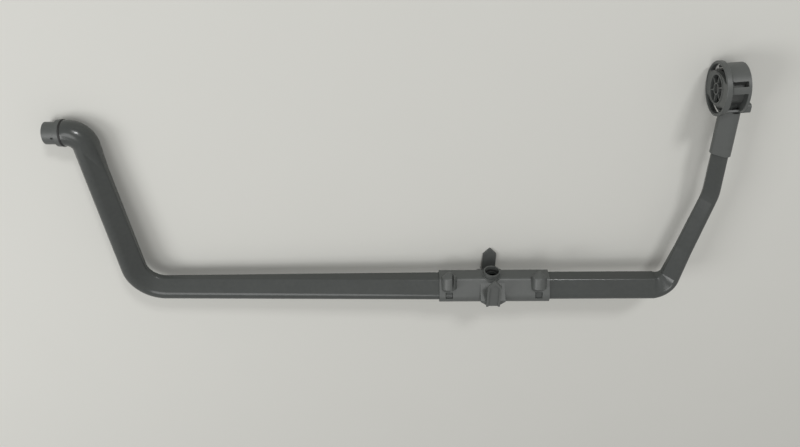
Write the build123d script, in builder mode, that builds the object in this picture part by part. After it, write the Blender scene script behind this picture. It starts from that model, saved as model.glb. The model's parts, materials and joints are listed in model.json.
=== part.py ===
"""Wash-water feed pipe of a dishwasher, with its docking port and its ceiling spray head.

The pipe lies flat: X runs along the long straight run, Y towards the free ends of the two legs and
Z up. The origin is the centre of the inlet's mouth. Sizes are in millimetres.
"""
import os
from math import atan, atan2, cos, degrees, hypot, radians, sin, tan

from build123d import *

# Route of the pipe's axis in the XY plane
elbow_x = 30.6          # inlet mouth to the first leg's axis
run_reach = 176.0       # inlet axis to the long run's axis
leg_splay = 12.9        # sideways spread of the first leg
run_length = 528.7      # corner to corner
knee_out = 17.7         # sideways lean of the second leg up to its knee
knee_reach = 110.0      # long run to the knee
head_lean = 4.7         # how far the last stretch leans back
head_reach = 70.2       # knee to the pipe's end, inside the head's sleeve
elbow_radius = 13.5
low_corner_radius = 28.0
high_corner_radius = 15.0
knee_radius = 60.0

# Pipe sections: depth from back to front, height of front and back planes, edge radii
round_size = 23.0
round_edge = 11.4
leg_depth = 21.5
leg_front = 5.0
leg_back = 41.0
leg_front_edge = 2.0
leg_back_edge = 6.5
throat_length = 26.0    # stretch below the elbow where the round pipe turns flat-sided
throat_depth = 20.6
throat_front = 7.0
throat_back = 34.0
throat_front_edge = 3.0
throat_back_edge = 7.0
run_depth = 20.0
run_front = 11.7
run_back = 43.0
run_front_edge = 1.8
run_back_edge = 5.0
high_depth = 14.2
high_front = 3.4
high_back = 28.0
high_front_edge = 1.4
high_back_edge = 3.0
end_depth = 12.0
end_front = 2.6
end_back = 23.6
end_front_edge = 1.2
end_back_edge = 2.6
corner_share = 0.7      # how much of the change of section the last corner takes
corner_settle = 34.0    # stretch past it that takes the rest
pipe_wall = 1.8
least_edge = 0.4        # smallest edge radius inside the bore
knee_share = 0.6        # how far the section has changed at the knee

# Inlet spigot and its seal
spigot_radius = 9.75
spigot_bore = 7.4
spigot_chamfer = 0.6    # inner edge of the mouth
nose_length = 10.8
collar_length = 4.0
collar_radius = 11.7
collar_overlap = 3.2    # how far the collar reaches over the pipe's neck
neck_radius = 9.0
neck_bore = 7.4
seal_thickness = 1.8
seal_radius = 11.95
seal_edge = 0.5
fit_gap = 0.1           # slip between pieces that are pushed together
slot_width = 1.6
slot_length = 3.2

# Docking saddle
port_place = 353.7      # left corner of the run to the port's axis
saddle_left = 52.7      # port axis to the saddle's left end
saddle_right = 57.0     # port axis to the saddle's right end
saddle_wall = 2.0
saddle_gap = 0.15
back_slot = 20.0        # height of the opening at the saddle's back
port_radius = 8.2
port_bore = 7.0
port_reach = 16.2       # run axis to the port's mouth
port_collar = 10.0      # radius of the step round the port's foot
port_collar_reach = 12.7
nipple_radius = 5.6
nipple_bore = 4.7
nipple_length = 1.2
gasket_thickness = 2.4
boss_left = 43.0        # port axis to the left boss and window
boss_right = 46.2       # port axis to the right boss and window
boss_radius = 7.4
boss_foot = 4.7         # run axis to a boss's rear end
boss_foot_height = 12.7
boss_dip = 22.0         # how far a boss's axis dips towards its point, in degrees
boss_length = 16.8
boss_tip = 5.2          # length of a boss's pointed end
boss_flat = 1.6         # radius left at the point
boss_shoulder_edge = 1.5
boss_tip_edge = 1.0
boss_hollow = 5.7       # left boss: radius and depth of its open rear end
boss_hollow_depth = 9.0
boss_slit = 1.3
boss_slit_place = 3.2   # left boss: axis to its slit
window_size = 7.0       # along the run
window_front = 1.2      # run axis to a window's front edge
window_rear = 4.6       # run axis to its rear edge
lug_margin = 0.5
lug_height = 1.2
tongue_outer = 26.75    # middle plane to a tongue's outer face
tongue_thickness = 2.6
tongue_width = 13.6
tongue_tip = 25.0       # run axis to a tongue's point
tongue_root = 7.6       # run axis to a tongue's rear end
tongue_point = 7.6      # length of the pointed end
tongue_tip_edge = 1.0
rib_width = 2.2
rib_height = 1.2
wing_width = 24.5
wing_front = 9.0
wing_foot = 9.0         # half height where a wing leaves the saddle's front
wing_edge = -2.0        # run axis to a wing's outer front edge
wing_rear = 3.5

# Spray head
head_rise = 19.3        # sleeve's top to the rotor's axis
head_setback = 14.26    # sleeve's top to the rotor's face
rotor_radius = 22.8
rotor_depth = 4.8
rim_width = 1.7
rim_edge = 0.8
web_thickness = 1.6
web_setback = 0.4
hub_radius = 5.0
hub_recess = 4.0
hub_recess_depth = 2.4
spoke_count = 6
spoke_width = 1.1
spoke_depth = 2.4
eye_radius = 11.6
eye_wall = 1.3
scoop_radius = 20.4
scoop_inner = 40.0
scoop_depth = 6.6
scoop_angle = -5.0
running_gap = 0.8       # rotor to manifold
axle_radius = 2.0
axle_fit = 0.05
axle_head_radius = 3.0
axle_head_depth = 1.1
shoulder_radius = 3.4
washer_radius = 3.9
washer_thickness = 0.8
end_play = 0.15
manifold_wall = 2.0
skirt_radius = 20.6
skirt_wall = 1.8
skirt_depth = 12.4
back_plate_thickness = 2.4
axle_boss_radius = 4.2
axle_boss_length = 4.0
neck_width = 13.0
neck_edge = 2.0
neck_hole = 4.6
sleeve_overlap = 27.0
sleeve_wall = 1.4
sleeve_lead = 6.0
sleeve_top = 15.5       # sleeve carried on past the pipe's end
lug_size = 8.0
lug_edge = 2.5
lug_reach = 11.0
slot_from = 51.0        # skirt windows, as angles from the head's far side
slot_to = 63.0
pocket_from = 79.0
pocket_to = 138.0

# Corner points of the route
elbow_point = (elbow_x, 0.0)
low_point = (elbow_x + leg_splay, -run_reach)
high_point = (low_point[0] + run_length, -run_reach)
knee_point = (high_point[0] + knee_out, knee_reach - run_reach)
end_point = (knee_point[0] - head_lean, knee_point[1] + head_reach)

# Sections as (depth, front height, back height, front edge radius, back edge radius)
round_section = (round_size, round_size, round_size, round_edge, round_edge)
leg_section = (leg_depth, leg_front, leg_back, leg_front_edge, leg_back_edge)
run_section = (run_depth, run_front, run_back, run_front_edge, run_back_edge)
high_section = (high_depth, high_front, high_back, high_front_edge, high_back_edge)
throat_section = (throat_depth, throat_front, throat_back, throat_front_edge, throat_back_edge)
end_section = (end_depth, end_front, end_back, end_front_edge, end_back_edge)


def blend(first, second, share):
    """Section part of the way between two others."""
    return tuple(a + (b - a) * share for a, b in zip(first, second))


def heading(start, stop):
    """Direction of a straight stretch, in degrees from X."""
    return degrees(atan2(stop[1] - start[1], stop[0] - start[0]))


def along(point, angle, distance):
    """Point at a distance from another in a given direction."""
    return (point[0] + distance * cos(radians(angle)), point[1] + distance * sin(radians(angle)))


def outline(point, angle, section, grow=0.0):
    """Closed outline of the pipe across its route, grown outwards or inwards by an even amount."""
    depth, front, back, front_edge, back_edge = section
    slope = atan((back - front) / 2 / depth)

    def half_height(distance):
        return front / 2 + (depth / 2 - distance) * tan(slope) + grow / cos(slope)

    n_front = depth / 2 + grow
    n_back = -n_front
    corners = [
        (n_front, half_height(n_front)),
        (n_back, half_height(n_back)),
        (n_back, -half_height(n_back)),
        (n_front, -half_height(n_front)),
    ]
    tangent = (cos(radians(angle)), sin(radians(angle)), 0)
    side = (-sin(radians(angle)), cos(radians(angle)), 0)
    with BuildSketch(Plane((point[0], point[1], 0), x_dir=side, z_dir=tangent)) as cross:
        Polygon(*corners, align=None)
        fillet(cross.vertices().group_by(Axis.X)[-1], max(front_edge + grow, least_edge))
        fillet(cross.vertices().group_by(Axis.X)[0], max(back_edge + grow, least_edge))
    return cross.sketch


class Bend:
    """Round bend of the route at a corner point, between two headings."""

    def __init__(self, corner, angle_in, angle_out, radius):
        self.turn = angle_out - angle_in
        self.hand = 1 if self.turn > 0 else -1
        reach = radius * tan(radians(abs(self.turn)) / 2)
        self.start = along(corner, angle_in, -reach)
        self.stop = along(corner, angle_out, reach)
        self.angle_in = angle_in
        self.angle_out = angle_out
        self.radius = radius
        self.centre = along(self.start, angle_in + 90 * self.hand, radius)

    def station(self, share):
        """Point and heading part of the way round the bend."""
        angle = self.angle_in + self.turn * share
        return along(self.centre, angle - 90 * self.hand, self.radius), angle


inlet_angle = 0.0
leg_angle = heading(elbow_point, low_point)
run_angle = 0.0
high_angle = heading(high_point, knee_point)
end_angle = heading(knee_point, end_point)
elbow = Bend(elbow_point, inlet_angle, leg_angle, elbow_radius)
low_corner = Bend(low_point, leg_angle, run_angle, low_corner_radius)
high_corner = Bend(high_point, run_angle, high_angle, high_corner_radius)
knee = Bend(knee_point, high_angle, end_angle, knee_radius)
corner_section = blend(run_section, high_section, corner_share)
knee_section = blend(high_section, end_section, knee_share)
bend_steps = 6

# Places along the X axis at the inlet
collar_end = nose_length + collar_length
pipe_start = collar_end + seal_thickness
neck_start = collar_end - collar_overlap

# Port and ends of the saddle
port_x = low_point[0] + port_place
saddle_start = port_x - saddle_left
saddle_end = port_x + saddle_right
boss_places = (port_x - boss_left, port_x + boss_right)
run_y = -run_reach


def straight(start, stop, angle, first, second, grow, mode=Mode.ADD):
    """Straight stretch between two sections."""
    loft([outline(start, angle, first, grow), outline(stop, angle, second, grow)], ruled=True, mode=mode)


def curved(bend, first, second, grow, mode=Mode.ADD):
    """Bend whose section changes on its way round."""
    rings = []
    for step in range(bend_steps + 1):
        share = step / bend_steps
        point, angle = bend.station(share)
        rings.append(outline(point, angle, blend(first, second, share), grow))
    loft(rings, mode=mode)


def route(grow):
    """Whole pipe from the elbow on as one solid, at its outside or at its bore."""
    curved(elbow, round_section, round_section, grow)
    throat = along(elbow.stop, leg_angle, throat_length)
    straight(elbow.stop, throat, leg_angle, round_section, throat_section, grow)
    straight(throat, low_corner.start, leg_angle, throat_section, leg_section, grow)
    curved(low_corner, leg_section, leg_section, grow)
    straight(low_corner.stop, (saddle_start, run_y), run_angle, leg_section, run_section, grow)
    straight((saddle_start, run_y), high_corner.start, run_angle, run_section, run_section, grow)
    settled = along(high_corner.stop, high_angle, corner_settle)
    curved(high_corner, run_section, corner_section, grow)
    straight(high_corner.stop, settled, high_angle, corner_section, high_section, grow)
    straight(settled, knee.start, high_angle, high_section, knee_section, grow)
    curved(knee, knee_section, knee_section, grow)
    straight(knee.stop, end_point, end_angle, knee_section, end_section, grow)


def run_bar(start, stop, grow, mode=Mode.ADD):
    """Plain length of the run's section along X, grown for what fits round it."""
    straight((start, run_y), (stop, run_y), run_angle, run_section, run_section, grow, mode)


def snap_box(centre_x, width, margin, mode):
    """Blocks through both sloping sides of the run, for a snap lug or its window."""
    middle = run_y + (window_front - window_rear) / 2
    length = window_front + window_rear - 2 * margin
    for hand in (1, -1):
        with Locations((centre_x, middle, hand * run_back / 2)):
            Box(width, length, run_back - back_slot, mode=mode)


# Bore of the pipe, taken out of the moulding below
with BuildPart() as pipe_bore:
    route(-pipe_wall)

# Room of the snap lugs at the run's rear edges
with BuildPart() as lug_room:
    for place in boss_places:
        snap_box(place, window_size - 2 * lug_margin, lug_margin, Mode.ADD)

# Snap lugs: short lengths of a slightly larger section, kept only at the rear edges
with BuildPart() as snap_lugs:
    for place in boss_places:
        lug_half = window_size / 2 - lug_margin
        run_bar(place - lug_half, place + lug_half, saddle_gap + lug_height)
    add(lug_room.part, mode=Mode.INTERSECT)

# Feed tube: one hollow moulding from the inlet's neck to the head's sleeve
with BuildPart() as feed_tube:
    straight((pipe_start, 0), elbow.start, inlet_angle, round_section, round_section, 0.0)
    route(0.0)
    with Locations(Location((neck_start, 0, 0), (0, 90, 0))):
        Cylinder(neck_radius, elbow.start[0] - neck_start,
                 align=(Align.CENTER, Align.CENTER, Align.MIN))
    add(snap_lugs.part)
    with Locations(Location((port_x, run_y, 0), (-90, 0, 0))):
        Cylinder(nipple_radius, run_depth / 2 + nipple_length,
                 align=(Align.CENTER, Align.CENTER, Align.MIN))
    add(pipe_bore.part, mode=Mode.SUBTRACT)
    with Locations(Location((port_x, run_y, 0), (-90, 0, 0))):
        Cylinder(nipple_bore, run_depth + nipple_length,
                 align=(Align.CENTER, Align.CENTER, Align.MIN), mode=Mode.SUBTRACT)
    with Locations(Location((neck_start, 0, 0), (0, 90, 0))):
        Cylinder(neck_bore, elbow_x - neck_start,
                 align=(Align.CENTER, Align.CENTER, Align.MIN), mode=Mode.SUBTRACT)
feed_tube.part.label = "feed_tube"

# Inlet spigot: nose and collar, turned about the inlet's axis
with BuildPart() as inlet_spigot:
    with BuildSketch(Plane.XY) as spigot_profile:
        with BuildLine():
            Polyline(
                (0, spigot_bore), (0, spigot_radius), (nose_length, spigot_radius),
                (nose_length, collar_radius), (collar_end, collar_radius),
                (collar_end, neck_radius + fit_gap), (neck_start - fit_gap, neck_radius + fit_gap),
                (neck_start - fit_gap, spigot_bore), close=True,
            )
        make_face()
    revolve(axis=Axis.X)
    lip_edges = inlet_spigot.edges().filter_by(GeomType.CIRCLE).group_by(Axis.X)[0].sort_by(SortBy.RADIUS)
    chamfer(lip_edges[0], spigot_chamfer)
    with Locations((nose_length - slot_length / 2, 0, spigot_radius)):
        Box(slot_length, slot_width, spigot_radius - spigot_bore, mode=Mode.SUBTRACT)
inlet_spigot.part.label = "inlet_spigot"

# Inlet seal: rubber ring round the neck, between collar and elbow
with BuildPart() as inlet_seal:
    with Locations(Location((collar_end, 0, 0), (0, 90, 0))):
        Cylinder(seal_radius, seal_thickness, align=(Align.CENTER, Align.CENTER, Align.MIN))
        Cylinder(neck_radius + fit_gap, seal_thickness,
                 align=(Align.CENTER, Align.CENTER, Align.MIN), mode=Mode.SUBTRACT)
    fillet(inlet_seal.edges().filter_by(GeomType.CIRCLE).group_by(SortBy.RADIUS)[-1], seal_edge)
inlet_seal.part.label = "inlet_seal"


def tongue(hand):
    """Pointed guide tongue with two edge ribs on its outer face."""
    half = tongue_width / 2
    panel = half - rib_width
    shoulder = tongue_tip - tongue_point
    inner = tongue_outer - tongue_thickness
    with BuildSketch(Plane.XY.offset(hand * inner)) as blade:
        with BuildLine():
            Polyline(
                (port_x - half, run_y - tongue_root), (port_x + half, run_y - tongue_root),
                (port_x + half, run_y + shoulder), (port_x, run_y + tongue_tip),
                (port_x - half, run_y + shoulder), close=True,
            )
        make_face()
        fillet(blade.vertices().group_by(Axis.Y)[-1], tongue_tip_edge)
    extrude(blade.sketch, amount=hand * tongue_thickness)
    with BuildSketch(Plane.XY.offset(hand * tongue_outer)) as recess:
        with BuildLine():
            Polyline(
                (port_x - panel, run_y - tongue_root), (port_x + panel, run_y - tongue_root),
                (port_x + panel, run_y + shoulder - rib_width / 2),
                (port_x, run_y + tongue_tip - 2 * rib_width),
                (port_x - panel, run_y + shoulder - rib_width / 2), close=True,
            )
        make_face()
    extrude(recess.sketch, amount=-hand * rib_height, mode=Mode.SUBTRACT)


# Wings between the saddle's sides and the tongues, sloped in front and narrowed towards the rear
wing_top = tongue_outer - tongue_thickness / 2 - rib_height
with BuildPart() as wings:
    for side_hand in (1, -1):
        with BuildSketch(Plane.YZ.offset(port_x - wing_width / 2)) as wing_side:
            with BuildLine():
                Polyline(
                    (run_y + wing_front, 0), (run_y + wing_front, side_hand * wing_foot),
                    (run_y + wing_edge, side_hand * wing_top),
                    (run_y - tongue_root, side_hand * wing_top), (run_y - tongue_root, 0), close=True,
                )
            make_face()
        extrude(wing_side.sketch, amount=wing_width)
    with BuildSketch(Plane.XY.offset(-tongue_outer)) as wing_plan:
        half = wing_width / 2
        narrow = tongue_width / 2
        with BuildLine():
            Polyline(
                (port_x - half, run_y + wing_front), (port_x - half, run_y - wing_rear),
                (port_x - narrow, run_y - tongue_root), (port_x + narrow, run_y - tongue_root),
                (port_x + half, run_y - wing_rear), (port_x + half, run_y + wing_front), close=True,
            )
        make_face()
    extrude(wing_plan.sketch, amount=2 * tongue_outer, mode=Mode.INTERSECT)

# Pointed bosses lying on the saddle's upper slope, the left one open at its rear and slit
with BuildPart() as bosses:
    boss_way = (0, cos(radians(boss_dip)), -sin(radians(boss_dip)))
    for place in boss_places:
        boss_plane = Plane((place, run_y + boss_foot, boss_foot_height), x_dir=(1, 0, 0), z_dir=boss_way)
        with BuildSketch(Plane(boss_plane.origin, x_dir=(1, 0, 0), z_dir=boss_plane.y_dir)) as boss_half:
            with BuildLine():
                Polyline(
                    (0, 0), (boss_radius, 0), (boss_radius, -(boss_length - boss_tip)),
                    (boss_flat, -boss_length), (0, -boss_length), close=True,
                )
            make_face()
            fillet(boss_half.vertices().group_by(Axis.X)[-1].sort_by(Axis.Y)[0], boss_shoulder_edge)
            fillet(boss_half.vertices().group_by(Axis.Y)[0].sort_by(Axis.X)[-1], boss_tip_edge)
        revolve(boss_half.sketch, axis=Axis(boss_plane.origin, boss_way))
    left_plane = Plane((boss_places[0], run_y + boss_foot, boss_foot_height), x_dir=(1, 0, 0), z_dir=boss_way)
    with BuildSketch(left_plane) as boss_bore:
        Circle(boss_hollow)
    extrude(boss_bore.sketch, amount=boss_hollow_depth, mode=Mode.SUBTRACT)
    with BuildSketch(left_plane) as boss_cut:
        with Locations((boss_slit_place, 0)):
            Rectangle(boss_slit, 4 * boss_radius)
    extrude(boss_cut.sketch, amount=boss_length, mode=Mode.SUBTRACT)

# Docking saddle: clip, port, wings, tongues and bosses in one moulding
with BuildPart() as dock_saddle:
    run_bar(saddle_start, saddle_end, saddle_gap + saddle_wall)
    add(wings.part)
    for side_hand in (1, -1):
        tongue(side_hand)
    with Locations(Location((port_x, run_y, 0), (-90, 0, 0))):
        Cylinder(port_collar, port_collar_reach, align=(Align.CENTER, Align.CENTER, Align.MIN))
    with Locations(Location((port_x, run_y, 0), (-90, 0, 0))):
        Cylinder(port_radius, port_reach, align=(Align.CENTER, Align.CENTER, Align.MIN))
    add(bosses.part)
    run_bar(saddle_start - 1, saddle_end + 1, saddle_gap, Mode.SUBTRACT)
    with Locations((port_x, run_y - run_depth, 0)):
        Box(2 * (saddle_left + saddle_right), run_depth, back_slot, mode=Mode.SUBTRACT)
    with Locations(Location((port_x, run_y, 0), (-90, 0, 0))):
        Cylinder(port_bore, 2 * port_reach, align=(Align.CENTER, Align.CENTER, Align.MIN),
                 mode=Mode.SUBTRACT)
    for place in boss_places:
        snap_box(place, window_size, 0, Mode.SUBTRACT)
dock_saddle.part.label = "dock_saddle"

# Dock gasket: rubber ring round the outlet nipple, inside the port
with BuildPart() as dock_gasket:
    with Locations(Location((port_x, run_y + run_depth / 2, 0), (-90, 0, 0))):
        Cylinder(port_bore - fit_gap, gasket_thickness, align=(Align.CENTER, Align.CENTER, Align.MIN))
        Cylinder(nipple_radius + fit_gap, gasket_thickness,
                 align=(Align.CENTER, Align.CENTER, Align.MIN), mode=Mode.SUBTRACT)
dock_gasket.part.label = "dock_gasket"

# Sleeve of the head along the pipe's last stretch
sleeve_start = along(end_point, end_angle, -sleeve_overlap)
sleeve_full = along(sleeve_start, end_angle, sleeve_lead)
sleeve_stop = along(end_point, end_angle, sleeve_top)
share_start = 1 - sleeve_overlap / hypot(end_point[0] - knee.stop[0], end_point[1] - knee.stop[1])
sleeve_section = blend(knee_section, end_section, share_start)
sleeve_outer = saddle_gap + sleeve_wall

# The head stands square on the pipe's last stretch; these are places along its axis from the rotor's face
head_centre = along(sleeve_stop, end_angle, head_rise)
head_way = end_angle - 90
rotor_centre = along(head_centre, head_way, -head_setback)
rotor_plane = Plane(
    (*rotor_centre, 0),
    x_dir=(cos(radians(end_angle)), sin(radians(end_angle)), 0),
    z_dir=(cos(radians(head_way)), sin(radians(head_way)), 0),
)
manifold_front = rotor_depth + running_gap
plate_front = manifold_front + skirt_depth
plate_back = plate_front + back_plate_thickness
head_plane = rotor_plane.offset(manifold_front)

# Spray head body: sleeve, neck, manifold, windowed skirt and back plate in one moulding
with BuildPart() as spray_head_body:
    straight(sleeve_start, sleeve_full, end_angle, sleeve_section, sleeve_section, sleeve_outer)
    straight(sleeve_full, sleeve_stop, end_angle, sleeve_section, end_section, sleeve_outer)
    with BuildSketch(head_plane) as skirt_ring:
        Circle(skirt_radius)
        Circle(skirt_radius - skirt_wall, mode=Mode.SUBTRACT)
    extrude(skirt_ring.sketch, amount=skirt_depth)
    for hand in (1, -1):
        for first, last in ((slot_from, slot_to), (pocket_from, pocket_to)):
            reach = 2 * skirt_radius
            with BuildSketch(head_plane) as window:
                with BuildLine():
                    Polyline(
                        (0, 0), along((0, 0), hand * first, reach),
                        along((0, 0), hand * (first + last) / 2, reach),
                        along((0, 0), hand * last, reach), close=True,
                    )
                make_face()
            extrude(window.sketch, amount=skirt_depth, mode=Mode.SUBTRACT)
    with BuildSketch(head_plane.offset(skirt_depth)) as plate:
        Circle(skirt_radius)
    extrude(plate.sketch, amount=back_plate_thickness)
    with BuildSketch(head_plane) as manifold:
        Circle(eye_radius + manifold_wall)
    extrude(manifold.sketch, amount=skirt_depth)
    neck_plane = Plane((*sleeve_stop, 0), x_dir=rotor_plane.z_dir, z_dir=rotor_plane.x_dir)
    with BuildSketch(neck_plane) as neck:
        RectangleRounded(neck_width, neck_width, neck_edge)
    extrude(neck.sketch, amount=head_rise)
    with BuildSketch(rotor_plane.offset(plate_back + lug_reach)) as lug:
        with Locations((-head_rise, 0)):
            RectangleRounded(lug_size, lug_size, lug_edge)
    extrude(lug.sketch, amount=-2 * lug_reach)
    straight(along(sleeve_start, end_angle, -1), end_point, end_angle,
             sleeve_section, end_section, saddle_gap, Mode.SUBTRACT)
    with BuildSketch(neck_plane) as neck_way:
        Circle(neck_hole)
    extrude(neck_way.sketch, amount=head_rise, mode=Mode.SUBTRACT)
    extrude(neck_way.sketch, amount=-sleeve_top, mode=Mode.SUBTRACT)
    with BuildSketch(head_plane) as eye:
        Circle(eye_radius)
    extrude(eye.sketch, amount=skirt_depth, mode=Mode.SUBTRACT)
    with BuildSketch(head_plane.offset(skirt_depth)) as axle_boss:
        Circle(axle_boss_radius)
    extrude(axle_boss.sketch, amount=-axle_boss_length)
    with BuildSketch(head_plane.offset(skirt_depth + back_plate_thickness)) as axle_hole:
        Circle(axle_radius)
    extrude(axle_hole.sketch, amount=-(axle_boss_length + back_plate_thickness), mode=Mode.SUBTRACT)
spray_head_body.part.label = "spray_head_body"

# Spray rotor: rim, web with two crescent outlets, eye ring, spokes and hub
with BuildPart() as spray_rotor:
    with BuildSketch(rotor_plane) as rim:
        Circle(rotor_radius)
        Circle(rotor_radius - rim_width, mode=Mode.SUBTRACT)
    extrude(rim.sketch, amount=rotor_depth)
    with BuildSketch(rotor_plane.offset(web_setback)) as web:
        Circle(rotor_radius - rim_width / 2)
        Circle(eye_radius + eye_wall / 2, mode=Mode.SUBTRACT)
        for turn in (scoop_angle, scoop_angle + 180):
            with BuildSketch(mode=Mode.SUBTRACT):
                Circle(scoop_radius)
                with Locations(along((0, 0), turn + 180, scoop_inner - scoop_radius + scoop_depth)):
                    Circle(scoop_inner, mode=Mode.SUBTRACT)
    extrude(web.sketch, amount=web_thickness)
    with BuildSketch(rotor_plane) as eye_ring:
        Circle(eye_radius + eye_wall)
        Circle(eye_radius, mode=Mode.SUBTRACT)
    extrude(eye_ring.sketch, amount=rotor_depth)
    with BuildSketch(rotor_plane.offset(web_setback)) as spokes:
        with PolarLocations((hub_radius + eye_radius) / 2, spoke_count):
            Rectangle(eye_radius - hub_radius + eye_wall, spoke_width)
    extrude(spokes.sketch, amount=spoke_depth)
    with BuildSketch(rotor_plane) as hub:
        Circle(hub_radius)
    extrude(hub.sketch, amount=rotor_depth)
    with BuildSketch(rotor_plane) as recess_hole:
        Circle(hub_recess)
    extrude(recess_hole.sketch, amount=hub_recess_depth, mode=Mode.SUBTRACT)
    with BuildSketch(rotor_plane) as bore_hole:
        Circle(axle_radius + axle_fit)
    extrude(bore_hole.sketch, amount=rotor_depth, mode=Mode.SUBTRACT)
    rim_edges = spray_rotor.edges().filter_by(GeomType.CIRCLE)
    fillet(rim_edges.filter_by(lambda edge: abs(edge.radius - rotor_radius) < 0.01), rim_edge)
spray_rotor.part.label = "spray_rotor"

# Rotor axle: pin with a head in the hub's recess and a shoulder behind the rotor
washer_front = rotor_depth + end_play
shoulder_front = washer_front + washer_thickness
head_back = hub_recess_depth - end_play
boss_front = plate_front - axle_boss_length
with BuildPart() as rotor_axle:
    with BuildSketch(rotor_plane.offset(head_back)) as axle_head:
        Circle(axle_head_radius)
    extrude(axle_head.sketch, amount=-axle_head_depth)
    with BuildSketch(rotor_plane.offset(head_back)) as axle_pin:
        Circle(axle_radius)
    extrude(axle_pin.sketch, amount=plate_back - head_back)
    with BuildSketch(rotor_plane.offset(shoulder_front)) as shoulder:
        Circle(shoulder_radius)
    extrude(shoulder.sketch, amount=boss_front - shoulder_front)
rotor_axle.part.label = "rotor_axle"

# Thrust washer: between the rotor's hub and the axle's shoulder
with BuildPart() as thrust_washer:
    with BuildSketch(rotor_plane.offset(washer_front)) as washer_ring:
        Circle(washer_radius)
        Circle(axle_radius + fit_gap, mode=Mode.SUBTRACT)
    extrude(washer_ring.sketch, amount=washer_thickness)
thrust_washer.part.label = "thrust_washer"

os.makedirs("parts", exist_ok=True)
export_step(feed_tube.part, "parts/feed_tube.step")
export_step(inlet_spigot.part, "parts/inlet_spigot.step")
export_step(inlet_seal.part, "parts/inlet_seal.step")
export_step(dock_saddle.part, "parts/dock_saddle.step")
export_step(dock_gasket.part, "parts/dock_gasket.step")
export_step(spray_head_body.part, "parts/spray_head_body.step")
export_step(spray_rotor.part, "parts/spray_rotor.step")
export_step(rotor_axle.part, "parts/rotor_axle.step")
export_step(thrust_washer.part, "parts/thrust_washer.step")
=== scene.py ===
"""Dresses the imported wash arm: moulded plastic finishes, small moulded details, table, light and camera."""
import json
import math

import bmesh
import bpy
from bpy.props import FloatProperty, FloatVectorProperty, IntProperty, PointerProperty
from mathutils import Matrix, Vector


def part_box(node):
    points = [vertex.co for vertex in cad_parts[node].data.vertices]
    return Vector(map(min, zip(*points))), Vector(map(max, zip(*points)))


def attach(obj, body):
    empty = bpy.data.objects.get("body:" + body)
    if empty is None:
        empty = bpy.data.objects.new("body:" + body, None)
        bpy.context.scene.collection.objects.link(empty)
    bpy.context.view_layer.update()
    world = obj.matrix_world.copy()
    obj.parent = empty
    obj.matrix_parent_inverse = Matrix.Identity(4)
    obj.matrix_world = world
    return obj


bl_info = {
    "name": "Wash Arm Dresser",
    "version": (1, 0, 0),
    "blender": (4, 5, 0),
    "location": "View3D > Sidebar > Wash Arm",
    "description": "Finishes and moulded details for a dishwasher feed pipe with a spray head",
    "category": "Object",
}

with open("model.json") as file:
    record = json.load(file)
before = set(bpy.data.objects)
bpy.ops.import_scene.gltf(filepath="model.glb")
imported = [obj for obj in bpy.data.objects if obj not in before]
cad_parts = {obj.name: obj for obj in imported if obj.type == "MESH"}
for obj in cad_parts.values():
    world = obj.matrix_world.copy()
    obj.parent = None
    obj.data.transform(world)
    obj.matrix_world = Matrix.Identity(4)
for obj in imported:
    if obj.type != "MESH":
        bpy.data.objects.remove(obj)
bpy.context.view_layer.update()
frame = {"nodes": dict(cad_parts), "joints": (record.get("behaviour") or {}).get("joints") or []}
mm = 0.001

# Noise sizes, in patches per metre, and the middle of the noise's range
flow_scale = 14
speck_scale = 1800
dust_scale = 260
grain_scale = 1400
wave_scale = 60
scuff_scale = 500
scuff_stretch = (0.06, 1, 1)
wear_scale = 300
noise_middle = 0.5

# Surface of the plastics and of the table
bevel_samples = 4
relief_strength = 0.5
coat_share = 0.7            # roughness of the clear coat, as a share of the plastic's
worn_lightening = 2.4       # how much paler a rubbed edge is
table_specular = 0.2
table_roughness = 0.6
table_spread = 0.1
table_drift = 0.015
table_specks = 0.02

# Small moulded details
vane_steps = 14
mark_segments = 32
mark_place = 0.62           # rotor axis to a mark, as a share of the rotor's radius
mark_rim = 0.14             # width of a witness ring, as a share of its radius
weld_distance = 0.001 * mm

# Stage
sky_tint = (1.0, 0.985, 0.96, 1)
room_tint = (1.0, 0.99, 0.97, 1)
sensor_width = 36.0
tongue_point = 1 * mm       # from the tongue's tip back to where it touches the table

spin = frame["joints"][0]
spin_point = Vector(spin["pos_m"])
spin_axis = Vector(spin["axis"]).normalized()
upright = Vector((0, 0, 1))
rotor_frame = Matrix.Translation(spin_point) @ Matrix(
    (upright.cross(spin_axis), upright, spin_axis)).transposed().to_4x4()


def reach_along_axis(node):
    """How far a node reaches from the rotor's face along its axis."""
    return max((vert.co - spin_point).dot(spin_axis) for vert in frame["nodes"][node].data.vertices)


rotor_depth = reach_along_axis("spray_rotor")
plate_back = reach_along_axis("rotor_axle")
rotor_low, rotor_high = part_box("spray_rotor")
rotor_radius = (rotor_high.z - rotor_low.z) / 2
saddle_low, saddle_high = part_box("dock_saddle")
gasket_low, gasket_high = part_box("dock_gasket")
port_centre = (gasket_low + gasket_high) / 2
seal_low, seal_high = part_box("inlet_seal")


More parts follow.
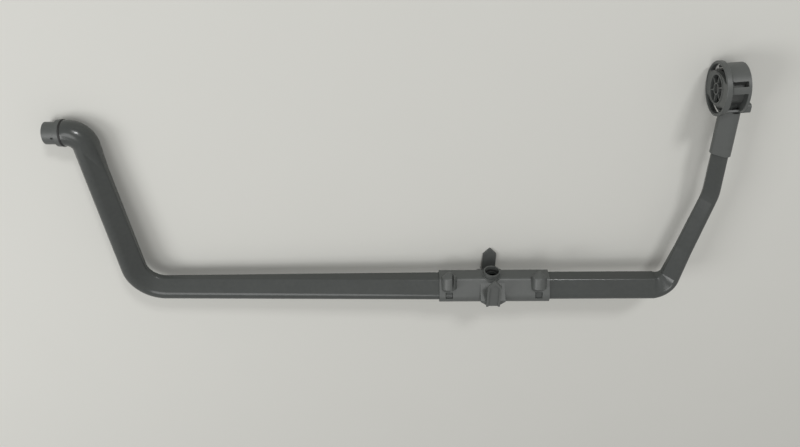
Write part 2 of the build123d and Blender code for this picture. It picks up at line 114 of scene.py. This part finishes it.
class WashArmFinish(bpy.types.PropertyGroup):
    """Colours and gloss of the finishes."""

    pipe_colour: FloatVectorProperty(
        name="Pipe Colour", description="Grey of the moulded feed pipe", subtype="COLOR",
        size=4, min=0, max=1, default=(0.043, 0.048, 0.046, 1))
    dock_colour: FloatVectorProperty(
        name="Dock Colour", description="Grey of the clip-on docking saddle", subtype="COLOR",
        size=4, min=0, max=1, default=(0.076, 0.082, 0.079, 1))
    head_colour: FloatVectorProperty(
        name="Head Colour", description="Grey of the spigot, the spray head and its rotor", subtype="COLOR",
        size=4, min=0, max=1, default=(0.076, 0.082, 0.079, 1))
    rubber_colour: FloatVectorProperty(
        name="Rubber Colour", description="Black of the seal and the gasket", subtype="COLOR",
        size=4, min=0, max=1, default=(0.008, 0.008, 0.008, 1))
    axle_colour: FloatVectorProperty(
        name="Axle Colour", description="Near black of the smooth axle pin", subtype="COLOR",
        size=4, min=0, max=1, default=(0.02, 0.02, 0.021, 1))
    washer_colour: FloatVectorProperty(
        name="Washer Colour", description="Natural white of the thrust washer", subtype="COLOR",
        size=4, min=0, max=1, default=(0.55, 0.54, 0.5, 1))
    pipe_roughness: FloatProperty(
        name="Pipe Roughness", description="Middle roughness of the pipe", subtype="FACTOR",
        min=0, max=1, default=0.22)
    satin_roughness: FloatProperty(
        name="Satin Roughness", description="Middle roughness of the dock and the head", subtype="FACTOR",
        min=0, max=1, default=0.42)
    edge_radius: FloatProperty(
        name="Edge Radius", description="How far moulded edges look rounded over", subtype="DISTANCE",
        unit="LENGTH", min=0, default=0.35 * mm)


class WashArmDetail(bpy.types.PropertyGroup):
    """Sizes of the small moulded details."""

    vane_radius: FloatProperty(
        name="Vane Radius", description="Radius of the arc a rotor vane follows", subtype="DISTANCE",
        unit="LENGTH", min=0, default=40 * mm)
    vane_reach: FloatProperty(
        name="Vane Reach", description="Rotor axis to the middle of a vane", subtype="DISTANCE",
        unit="LENGTH", min=0, default=13.8 * mm)
    vane_sweep: FloatProperty(
        name="Vane Sweep", description="Angle a vane covers on its own arc", subtype="ANGLE",
        unit="ROTATION", min=0, default=math.radians(50))
    vane_angle: FloatProperty(
        name="Vane Angle", description="Where the first vane sits on the rotor", subtype="ANGLE",
        unit="ROTATION", default=math.radians(-5))
    vane_depth: FloatProperty(
        name="Vane Depth", description="How deep a vane reaches behind the rotor's web", subtype="DISTANCE",
        unit="LENGTH", min=0, default=4.4 * mm)
    vane_thickness: FloatProperty(
        name="Vane Thickness", description="Wall of a vane", subtype="DISTANCE",
        unit="LENGTH", min=0, default=1.1 * mm)
    mark_count: IntProperty(
        name="Ejector Marks", description="Ejector pin marks on the head's back plate", min=0, default=3)
    mark_radius: FloatProperty(
        name="Ejector Mark Radius", description="Radius of an ejector pin mark", subtype="DISTANCE",
        unit="LENGTH", min=0, default=2.4 * mm)
    mark_height: FloatProperty(
        name="Ejector Mark Height", description="How proud the witness ring stands", subtype="DISTANCE",
        unit="LENGTH", min=0, default=0.18 * mm)


class WashArmStage(bpy.types.PropertyGroup):
    """Table, light and camera."""

    table_colour: FloatVectorProperty(
        name="Table Colour", description="Pale table top", subtype="COLOR",
        size=4, min=0, max=1, default=(0.665, 0.665, 0.63, 1))
    table_size: FloatProperty(
        name="Table Size", description="Edge length of the table", subtype="DISTANCE",
        unit="LENGTH", min=0, default=8.0)
    sky_strength: FloatProperty(
        name="Sky Strength", description="Even light from all round", min=0, default=0.36)
    backdrop_strength: FloatProperty(
        name="Backdrop Strength", description="How pale the room looks behind the table", min=0, max=1,
        default=0.5)
    daylight_strength: FloatProperty(
        name="Daylight Strength", description="Even light from overhead", min=0, default=0.53)
    daylight_angle: FloatProperty(
        name="Daylight Angle", description="How broad and soft the overhead light is", subtype="ANGLE",
        unit="ROTATION", min=0, default=math.radians(30))
    daylight_from: FloatVectorProperty(
        name="Daylight From", description="Direction the overhead light comes from", subtype="DIRECTION",
        size=3, default=(-0.2, 0.25, 1.0))
    side_power: FloatProperty(
        name="Side Power", description="Power of the soft lamp at the inlet's side", subtype="POWER",
        unit="POWER", min=0, default=8.0)
    side_size: FloatProperty(
        name="Side Size", description="Edge length of the side lamp", subtype="DISTANCE",
        unit="LENGTH", min=0, default=0.7)
    side_place: FloatVectorProperty(
        name="Side Place", description="Where the side lamp hangs", subtype="TRANSLATION",
        unit="LENGTH", size=3, default=(-0.85, -0.12, 1.05))
    front_power: FloatProperty(
        name="Front Power", description="Power of the lamp in front of the run, which lights under its edge",
        subtype="POWER", unit="POWER", min=0, default=17.5)
    front_length: FloatProperty(
        name="Front Length", description="Length of the front lamp along the run", subtype="DISTANCE",
        unit="LENGTH", min=0, default=0.4)
    front_width: FloatProperty(
        name="Front Width", description="Width of the front lamp", subtype="DISTANCE",
        unit="LENGTH", min=0, default=0.3)
    front_place: FloatVectorProperty(
        name="Front Place", description="Where the front lamp hangs", subtype="TRANSLATION",
        unit="LENGTH", size=3, default=(0.9, 1.8, 1.4))
    camera_place: FloatVectorProperty(
        name="Camera Place", description="Where the camera stands", subtype="TRANSLATION",
        unit="LENGTH", size=3, default=(0.3094, 0.2990, 0.5315))
    camera_target: FloatVectorProperty(
        name="Camera Target", description="What the camera looks at", subtype="TRANSLATION",
        unit="LENGTH", size=3, default=(0.3055, -0.1206, -0.0275))
    camera_lens: FloatProperty(
        name="Lens", description="Focal length on a 36 mm sensor, in millimetres", min=1, default=31.5)
    camera_roll: FloatProperty(
        name="Camera Roll", description="Turn of the camera about its own view", subtype="ANGLE",
        unit="ROTATION", default=math.radians(-0.55))


def add_group(name, inputs, outputs):
    """New shader node group with named sockets, and its two end nodes."""
    group = bpy.data.node_groups.new(name, "ShaderNodeTree")
    for label, kind, value in inputs:
        socket = group.interface.new_socket(label, in_out="INPUT", socket_type=kind)
        socket.default_value = value
    for label, kind in outputs:
        group.interface.new_socket(label, in_out="OUTPUT", socket_type=kind)
    return group, group.nodes.new("NodeGroupInput"), group.nodes.new("NodeGroupOutput")


def add_noise(group, scale, detail, stretch=(1, 1, 1)):
    """Noise on Object coordinates, stretched per axis; gives its value socket."""
    place = group.nodes.new("ShaderNodeTexCoord")
    mapping = group.nodes.new("ShaderNodeMapping")
    mapping.inputs["Scale"].default_value = stretch
    noise = group.nodes.new("ShaderNodeTexNoise")
    noise.inputs["Scale"].default_value = scale
    noise.inputs["Detail"].default_value = detail
    group.links.new(place.outputs["Object"], mapping.inputs["Vector"])
    group.links.new(mapping.outputs["Vector"], noise.inputs["Vector"])
    return noise.outputs["Fac"]


def add_math(tree, operation, first, second):
    """Math node between two sockets or numbers; gives its value socket."""
    node = tree.nodes.new("ShaderNodeMath")
    node.operation = operation
    for socket, value in zip(node.inputs, (first, second)):
        if isinstance(value, bpy.types.NodeSocket):
            tree.links.new(value, socket)
        else:
            socket.default_value = value
    return node.outputs["Value"]


def moulded_tone():
    """Colour of a moulded plastic: slow drift along the flow, fine specks of filler, dust on top faces."""
    group, start, stop = add_group(
        "moulded_tone",
        [("Colour", "NodeSocketColor", (0.1, 0.1, 0.1, 1)), ("Drift", "NodeSocketFloat", 0.12),
         ("Specks", "NodeSocketFloat", 0.1), ("Dust", "NodeSocketFloat", 0.05),
         ("Dust Colour", "NodeSocketColor", (0.42, 0.41, 0.39, 1))],
        [("Colour", "NodeSocketColor")])
    drift = add_math(group, "SUBTRACT", add_noise(group, flow_scale, 3), noise_middle)
    drift = add_math(group, "MULTIPLY", drift, start.outputs["Drift"])
    specks = add_math(group, "SUBTRACT", add_noise(group, speck_scale, 2), noise_middle)
    specks = add_math(group, "MULTIPLY", specks, start.outputs["Specks"])
    level = add_math(group, "ADD", add_math(group, "ADD", drift, specks), 1.0)
    tint = group.nodes.new("ShaderNodeVectorMath")
    tint.operation = "SCALE"
    group.links.new(start.outputs["Colour"], tint.inputs["Vector"])
    group.links.new(level, tint.inputs["Scale"])
    facing = group.nodes.new("ShaderNodeNewGeometry")
    split = group.nodes.new("ShaderNodeSeparateXYZ")
    group.links.new(facing.outputs["Normal"], split.inputs["Vector"])
    upward = add_math(group, "MAXIMUM", split.outputs["Z"], 0.0)
    patches = add_math(group, "MULTIPLY", add_noise(group, dust_scale, 5), start.outputs["Dust"])
    mix = group.nodes.new("ShaderNodeMix")
    mix.data_type = "RGBA"
    group.links.new(add_math(group, "MULTIPLY", upward, patches), mix.inputs["Factor"])
    group.links.new(tint.outputs["Vector"], mix.inputs["A"])
    group.links.new(start.outputs["Dust Colour"], mix.inputs["B"])
    group.links.new(mix.outputs["Result"], stop.inputs["Colour"])
    return group


def moulded_grain():
    """Gloss and relief of a moulded surface: fine grain, flow lines and handling marks."""
    group, start, stop = add_group(
        "moulded_grain",
        [("Roughness", "NodeSocketFloat", 0.4), ("Spread", "NodeSocketFloat", 0.12),
         ("Marks", "NodeSocketFloat", 0.3)],
        [("Roughness", "NodeSocketFloat"), ("Height", "NodeSocketFloat")])
    grain = add_noise(group, grain_scale, 4)
    waves = add_noise(group, wave_scale, 3)
    scuffs = add_noise(group, scuff_scale, 3, scuff_stretch)
    rub = add_math(group, "SUBTRACT", scuffs, noise_middle)
    rub = add_math(group, "MULTIPLY", rub, start.outputs["Marks"])
    spread = add_math(group, "SUBTRACT", add_math(group, "ADD", waves, rub), noise_middle)
    spread = add_math(group, "MULTIPLY", spread, start.outputs["Spread"])
    group.links.new(add_math(group, "ADD", start.outputs["Roughness"], spread), stop.inputs["Roughness"])
    group.links.new(add_math(group, "ADD", grain, rub), stop.inputs["Height"])
    return group


def edge_rub():
    """Mask of the worn outer edges, from how far a rounded-over normal leaves the plain one."""
    group, start, stop = add_group(
        "edge_rub",
        [("Rounded Normal", "NodeSocketVector", (0, 0, 1)), ("Strength", "NodeSocketFloat", 1.0)],
        [("Mask", "NodeSocketFloat")])
    plain = group.nodes.new("ShaderNodeNewGeometry")
    dot = group.nodes.new("ShaderNodeVectorMath")
    dot.operation = "DOT_PRODUCT"
    group.links.new(plain.outputs["Normal"], dot.inputs[0])
    group.links.new(start.outputs["Rounded Normal"], dot.inputs[1])
    turned = add_math(group, "SUBTRACT", 1.0, dot.outputs["Value"])
    broken = add_math(group, "MULTIPLY", turned, add_noise(group, wear_scale, 4))
    worn = add_math(group, "MULTIPLY", broken, start.outputs["Strength"])
    group.links.new(add_math(group, "MINIMUM", worn, 1.0), stop.inputs["Mask"])
    return group


def use_group(material, group, values):
    """Places a shared group in a material with its own values."""
    node = material.node_tree.nodes.new("ShaderNodeGroup")
    node.node_tree = group
    for label, value in values.items():
        node.inputs[label].default_value = value
    return node


def plastic(name, colour, roughness, grain_height, coat, dust, rub, edge_radius, groups):
    """Moulded plastic with drifting tone, grain, dust and lightly rubbed edges."""
    material = bpy.data.materials.new(name)
    material.use_nodes = True
    tree = material.node_tree
    shader = tree.nodes["Principled BSDF"]
    shader.inputs["Coat Weight"].default_value = coat
    shader.inputs["Coat Roughness"].default_value = roughness * coat_share
    tone = use_group(material, groups["tone"], {"Colour": colour, "Dust": dust})
    grain = use_group(material, groups["grain"], {"Roughness": roughness})
    round_over = tree.nodes.new("ShaderNodeBevel")
    round_over.samples = bevel_samples
    round_over.inputs["Radius"].default_value = edge_radius
    worn = use_group(material, groups["rub"], {"Strength": rub})
    tree.links.new(round_over.outputs["Normal"], worn.inputs["Rounded Normal"])
    lighten = tree.nodes.new("ShaderNodeMix")
    lighten.data_type = "RGBA"
    lighten.inputs["B"].default_value = tuple(min(1, part * worn_lightening) for part in colour[:3]) + (1,)
    tree.links.new(worn.outputs["Mask"], lighten.inputs["Factor"])
    tree.links.new(tone.outputs["Colour"], lighten.inputs["A"])
    tree.links.new(lighten.outputs["Result"], shader.inputs["Base Color"])
    tree.links.new(grain.outputs["Roughness"], shader.inputs["Roughness"])
    relief = tree.nodes.new("ShaderNodeBump")
    relief.inputs["Strength"].default_value = relief_strength
    relief.inputs["Distance"].default_value = grain_height
    tree.links.new(grain.outputs["Height"], relief.inputs["Height"])
    tree.links.new(round_over.outputs["Normal"], relief.inputs["Normal"])
    tree.links.new(relief.outputs["Normal"], shader.inputs["Normal"])
    return material


def shared_groups():
    """The three shared node groups, built once."""
    makers = {"tone": ("moulded_tone", moulded_tone), "grain": ("moulded_grain", moulded_grain),
              "rub": ("edge_rub", edge_rub)}
    return {key: bpy.data.node_groups.get(name) or make() for key, (name, make) in makers.items()}


def paint(obj, material):
    """Gives an object one material."""
    obj.data.materials.clear()
    obj.data.materials.append(material)


def new_piece(name, mesh, body, material):
    """Object from a bmesh, riding on a body with a finish."""
    bmesh.ops.remove_doubles(mesh, verts=mesh.verts, dist=weld_distance)
    bmesh.ops.recalc_face_normals(mesh, faces=mesh.faces)
    data = bpy.data.meshes.new(name)
    mesh.to_mesh(data)
    mesh.free()
    obj = bpy.data.objects.new(name, data)
    bpy.context.scene.collection.objects.link(obj)
    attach(obj, body)
    paint(obj, material)
    return obj


class WASHARM_OT_finish_pipe(bpy.types.Operator):
    """Gives the feed pipe its semi-gloss moulded finish"""

    bl_idname = "washarm.finish_pipe"
    bl_label = "Finish Pipe"

    def execute(self, context):
        finish = context.scene.wash_arm_finish
        material = plastic(
            "pipe_moulding", finish.pipe_colour, finish.pipe_roughness, grain_height=0.02 * mm, coat=0.1,
            dust=0.05, rub=0.5, edge_radius=finish.edge_radius, groups=shared_groups())
        paint(frame["nodes"]["feed_tube"], material)
        return {"FINISHED"}


class WASHARM_OT_finish_dock(bpy.types.Operator):
    """Gives the docking saddle its satin finish"""

    bl_idname = "washarm.finish_dock"
    bl_label = "Finish Docking Saddle"

    def execute(self, context):
        finish = context.scene.wash_arm_finish
        material = plastic(
            "dock_moulding", finish.dock_colour, finish.satin_roughness, grain_height=0.03 * mm, coat=0.0,
            dust=0.07, rub=0.9, edge_radius=finish.edge_radius, groups=shared_groups())
        paint(frame["nodes"]["dock_saddle"], material)
        return {"FINISHED"}


class WASHARM_OT_finish_head(bpy.types.Operator):
    """Gives the spigot, the spray head and its rotor their satin finish"""

    bl_idname = "washarm.finish_head"
    bl_label = "Finish Spigot and Head"

    def execute(self, context):
        finish = context.scene.wash_arm_finish
        material = plastic(
            "head_moulding", finish.head_colour, finish.satin_roughness, grain_height=0.03 * mm, coat=0.0,
            dust=0.06, rub=0.9, edge_radius=finish.edge_radius, groups=shared_groups())
        for name in ("inlet_spigot", "spray_head_body", "spray_rotor"):
            paint(frame["nodes"][name], material)
        return {"FINISHED"}


class WASHARM_OT_finish_small_parts(bpy.types.Operator):
    """Gives the rubber rings, the axle and the washer their finishes"""

    bl_idname = "washarm.finish_small_parts"
    bl_label = "Finish Seals, Axle and Washer"

    def execute(self, context):
        finish = context.scene.wash_arm_finish
        groups = shared_groups()
        rubber = plastic(
            "seal_rubber", finish.rubber_colour, roughness=0.62, grain_height=0.04 * mm, coat=0.0,
            dust=0.03, rub=0.4, edge_radius=finish.edge_radius, groups=groups)
        for name in ("inlet_seal", "dock_gasket"):
            paint(frame["nodes"][name], rubber)
        axle = plastic(
            "axle_plastic", finish.axle_colour, roughness=0.32, grain_height=0.01 * mm, coat=0.0,
            dust=0.02, rub=0.2, edge_radius=finish.edge_radius, groups=groups)
        paint(frame["nodes"]["rotor_axle"], axle)
        washer = plastic(
            "washer_plastic", finish.washer_colour, roughness=0.4, grain_height=0.02 * mm, coat=0.0,
            dust=0.02, rub=0.2, edge_radius=finish.edge_radius, groups=groups)
        paint(frame["nodes"]["thrust_washer"], washer)
        return {"FINISHED"}


class WASHARM_OT_add_rotor_vanes(bpy.types.Operator):
    """Adds the curved walls behind the rotor's crescent outlets"""

    bl_idname = "washarm.add_rotor_vanes"
    bl_label = "Add Rotor Vanes"

    def execute(self, context):
        detail = context.scene.wash_arm_detail
        vanes = bmesh.new()
        for turn in (detail.vane_angle, detail.vane_angle + math.pi):
            outward = Vector((math.cos(turn), math.sin(turn), 0))
            arc_centre = outward * (detail.vane_reach - detail.vane_radius)
            start = Matrix.Rotation(-detail.vane_sweep / 2, 3, "Z") @ (outward * detail.vane_radius)
            corners = []
            for lift in (0.0, detail.vane_depth):
                for inset in (0.0, detail.vane_thickness):
                    corner = arc_centre + start * (1 - inset / detail.vane_radius)
                    corner.z = rotor_depth - lift
                    corners.append(vanes.verts.new(corner))
            face = vanes.faces.new([corners[0], corners[1], corners[3], corners[2]])
            bmesh.ops.spin(vanes, geom=[face, *face.edges, *face.verts], cent=arc_centre,
                           axis=(0, 0, 1), angle=detail.vane_sweep, steps=vane_steps)
        bmesh.ops.transform(vanes, matrix=rotor_frame, verts=vanes.verts)
        new_piece("rotor_vanes", vanes, "rotor", bpy.data.materials["head_moulding"])
        return {"FINISHED"}


class WASHARM_OT_add_ejector_marks(bpy.types.Operator):
    """Adds the ejector pin witness rings on the head's back plate"""

    bl_idname = "washarm.add_ejector_marks"
    bl_label = "Add Ejector Marks"

    def execute(self, context):
        detail = context.scene.wash_arm_detail
        rings = bmesh.new()
        reach = rotor_radius * mark_place
        for index in range(detail.mark_count):
            turn = 2 * math.pi * index / detail.mark_count
            place = Matrix.Translation((reach * math.cos(turn), reach * math.sin(turn), plate_back))
            disc = bmesh.ops.create_circle(rings, cap_ends=True, segments=mark_segments,
                                           radius=detail.mark_radius, matrix=place)
            face = disc["verts"][0].link_faces[0]
            raised = bmesh.ops.extrude_face_region(rings, geom=[face])
            moved = [item for item in raised["geom"] if isinstance(item, bmesh.types.BMVert)]
            bmesh.ops.translate(rings, verts=moved, vec=(0, 0, detail.mark_height))
            top = [item for item in raised["geom"] if isinstance(item, bmesh.types.BMFace)]
            bmesh.ops.inset_individual(rings, faces=top, thickness=detail.mark_radius * mark_rim, depth=0)
            bmesh.ops.translate(rings, verts=top[0].verts, vec=(0, 0, -detail.mark_height))
        bmesh.ops.transform(rings, matrix=rotor_frame, verts=rings.verts)
        new_piece("ejector_marks", rings, "pipe", bpy.data.materials["head_moulding"])
        return {"FINISHED"}


def table_material(colour):
    """Pale laminate with a faint cloud in its tone and gloss."""
    material = bpy.data.materials.new("table_top")
    material.use_nodes = True
    tree = material.node_tree
    shader = tree.nodes["Principled BSDF"]
    shader.inputs["Specular IOR Level"].default_value = table_specular
    groups = shared_groups()
    tone = use_group(material, groups["tone"], {
        "Colour": colour, "Drift": table_drift, "Specks": table_specks, "Dust": 0})
    grain = use_group(material, groups["grain"], {"Roughness": table_roughness, "Spread": table_spread})
    tree.links.new(tone.outputs["Colour"], shader.inputs["Base Color"])
    tree.links.new(grain.outputs["Roughness"], shader.inputs["Roughness"])
    return material


def soft_room(stage):
    """World with even light on the part and a pale room to look at and to reflect."""
    world = bpy.data.worlds.new("soft_room")
    world.use_nodes = True
    tree = world.node_tree
    light = tree.nodes["Background"]
    light.inputs["Color"].default_value = sky_tint
    light.inputs["Strength"].default_value = stage.sky_strength
    room = tree.nodes.new("ShaderNodeBackground")
    room.inputs["Color"].default_value = room_tint
    room.inputs["Strength"].default_value = stage.backdrop_strength
    ray = tree.nodes.new("ShaderNodeLightPath")
    seen = add_math(tree, "MAXIMUM", ray.outputs["Is Camera Ray"], ray.outputs["Is Glossy Ray"])
    seen = add_math(tree, "MAXIMUM", seen, ray.outputs["Is Transmission Ray"])
    mix = tree.nodes.new("ShaderNodeMixShader")
    tree.links.new(seen, mix.inputs["Fac"])
    tree.links.new(light.outputs["Background"], mix.inputs[1])
    tree.links.new(room.outputs["Background"], mix.inputs[2])
    tree.links.new(mix.outputs["Shader"], tree.nodes["World Output"].inputs["Surface"])
    return world


def hang_lamp(scene, name, power, length, width, place):
    """Hangs an area lamp at a place, shining on the docking port."""
    lamp = bpy.data.lights.new(name, "AREA")
    lamp.shape = "RECTANGLE"
    lamp.energy = power
    lamp.size = length
    lamp.size_y = width
    obj = bpy.data.objects.new(name, lamp)
    obj.location = place
    obj.rotation_euler = (Vector(place) - port_centre).to_track_quat("Z", "Y").to_euler()
    scene.collection.objects.link(obj)


class WASHARM_OT_set_stage(bpy.types.Operator):
    """Lays the part on a pale table, with soft light and the photograph's camera"""

    bl_idname = "washarm.set_stage"
    bl_label = "Set Stage"

    def execute(self, context):
        stage = context.scene.wash_arm_stage
        scene = context.scene
        inlet_touch = Vector(((seal_low.x + seal_high.x) / 2, 0, seal_low.z))
        dock_touch = Vector((port_centre.x, saddle_high.y - tongue_point, saddle_low.z))
        head_touch = (rotor_low + rotor_high) / 2 - upright * rotor_radius
        up = (head_touch - inlet_touch).cross(dock_touch - inlet_touch)
        up = up.normalized() * (1 if up.z > 0 else -1)
        top = bmesh.new()
        half = stage.table_size / 2
        lay = Matrix.Translation(dock_touch) @ up.to_track_quat("Z", "Y").to_matrix().to_4x4()
        bmesh.ops.create_grid(top, x_segments=4, y_segments=4, size=half, matrix=lay)
        data = bpy.data.meshes.new("table")
        top.to_mesh(data)
        top.free()
        table = bpy.data.objects.new("table", data)
        scene.collection.objects.link(table)
        paint(table, table_material(stage.table_colour))

        scene.world = soft_room(stage)
        sun = bpy.data.lights.new("daylight", "SUN")
        sun.energy = stage.daylight_strength
        sun.angle = stage.daylight_angle
        daylight = bpy.data.objects.new("daylight", sun)
        daylight.rotation_euler = Vector(stage.daylight_from).to_track_quat("Z", "Y").to_euler()
        scene.collection.objects.link(daylight)
        hang_lamp(scene, "side_lamp", stage.side_power, stage.side_size, stage.side_size, stage.side_place)
        hang_lamp(scene, "front_lamp", stage.front_power, stage.front_length, stage.front_width,
                  stage.front_place)

        lens = bpy.data.cameras.new("photo_camera")
        lens.sensor_width = sensor_width
        lens.lens = stage.camera_lens
        camera = bpy.data.objects.new("photo_camera", lens)
        back = (Vector(stage.camera_place) - Vector(stage.camera_target)).normalized()
        side = Vector((0, 1, 0)).cross(back).normalized()
        turn = Matrix((side, back.cross(side), back)).transposed()
        roll = Matrix.Rotation(stage.camera_roll, 4, "Z")
        camera.matrix_world = Matrix.Translation(stage.camera_place) @ turn.to_4x4() @ roll
        scene.collection.objects.link(camera)
        scene.camera = camera
        scene.view_settings.view_transform = "Standard"
        return {"FINISHED"}


class WASHARM_PT_panel(bpy.types.Panel):
    """Lists the steps that dress the wash arm"""

    bl_idname = "WASHARM_PT_panel"
    bl_label = "Wash Arm"
    bl_space_type = "VIEW_3D"
    bl_region_type = "UI"
    bl_category = "Wash Arm"

    def draw(self, context):
        column = self.layout.column(align=True)
        for operator in operators:
            column.operator(operator.bl_idname)


operators = (
    WASHARM_OT_finish_pipe,
    WASHARM_OT_finish_dock,
    WASHARM_OT_finish_head,
    WASHARM_OT_finish_small_parts,
    WASHARM_OT_add_rotor_vanes,
    WASHARM_OT_add_ejector_marks,
    WASHARM_OT_set_stage,
)
groups_of_settings = {
    "wash_arm_finish": WashArmFinish,
    "wash_arm_detail": WashArmDetail,
    "wash_arm_stage": WashArmStage,
}


def register():
    for name, settings in groups_of_settings.items():
        bpy.utils.register_class(settings)
        setattr(bpy.types.Scene, name, PointerProperty(type=settings))
    for operator in operators:
        bpy.utils.register_class(operator)
    bpy.utils.register_class(WASHARM_PT_panel)


def unregister():
    bpy.utils.unregister_class(WASHARM_PT_panel)
    for operator in reversed(operators):
        bpy.utils.unregister_class(operator)
    for name, settings in groups_of_settings.items():
        delattr(bpy.types.Scene, name)
        bpy.utils.unregister_class(settings)


def main():
    register()
    bpy.ops.washarm.finish_pipe()
    bpy.ops.washarm.finish_dock()
    bpy.ops.washarm.finish_head()
    bpy.ops.washarm.finish_small_parts()
    bpy.ops.washarm.add_rotor_vanes()
    bpy.ops.washarm.add_ejector_marks()
    bpy.ops.washarm.set_stage()


if __name__ == "__main__":
    main()
